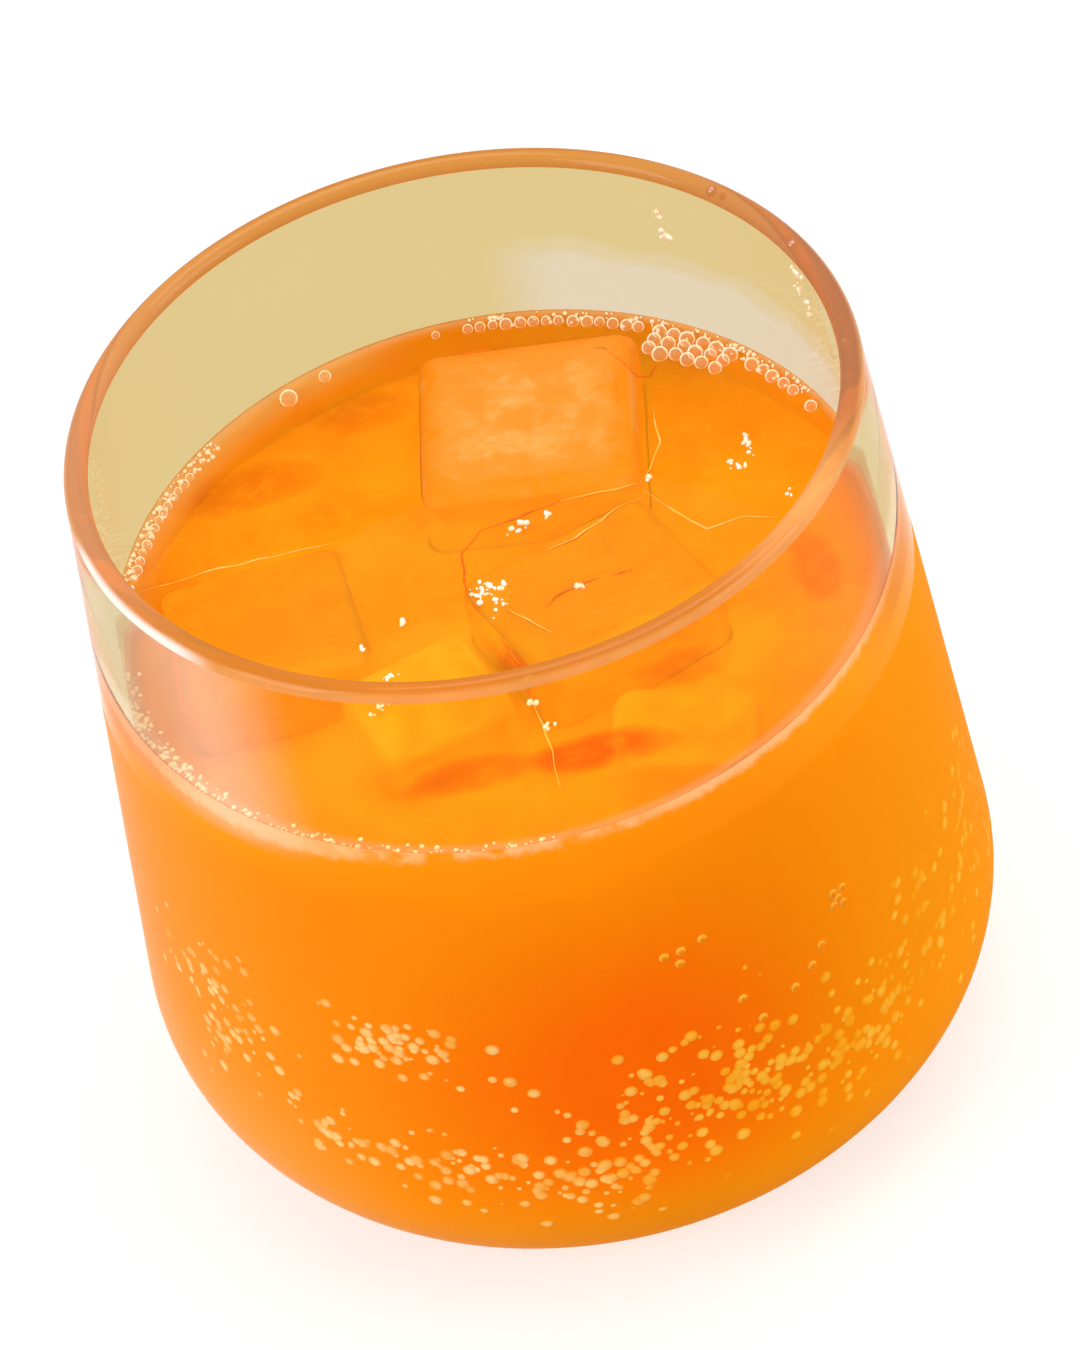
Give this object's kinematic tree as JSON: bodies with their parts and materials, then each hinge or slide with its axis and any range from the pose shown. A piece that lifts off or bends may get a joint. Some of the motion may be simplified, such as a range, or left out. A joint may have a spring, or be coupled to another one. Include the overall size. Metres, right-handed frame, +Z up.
{
  "type": "glass of kombucha",
  "caption": "Round tumbler with a rounded base, filled with an orange sparkling drink, with ice cubes and bubbles at the surface.",
  "frame": {"origin": "middle of the glass's flat underside", "axes": "+Z up along the glass's axis, -Y towards the viewer"},
  "size_m": [0.0904, 0.0904, 0.0861],
  "materials": {
    "tumbler": "clear, faintly yellow, with an orange-brown rim",
    "kombucha": "orange, hazy, wet",
    "ice": "clear ice, melted surface"
  },
  "bodies": {
    "root": {"glass": "tumbler", "drink": "kombucha", "ice_back": "ice", "ice_right": "ice", "ice_left": "ice"}
  },
  "joints": []
}
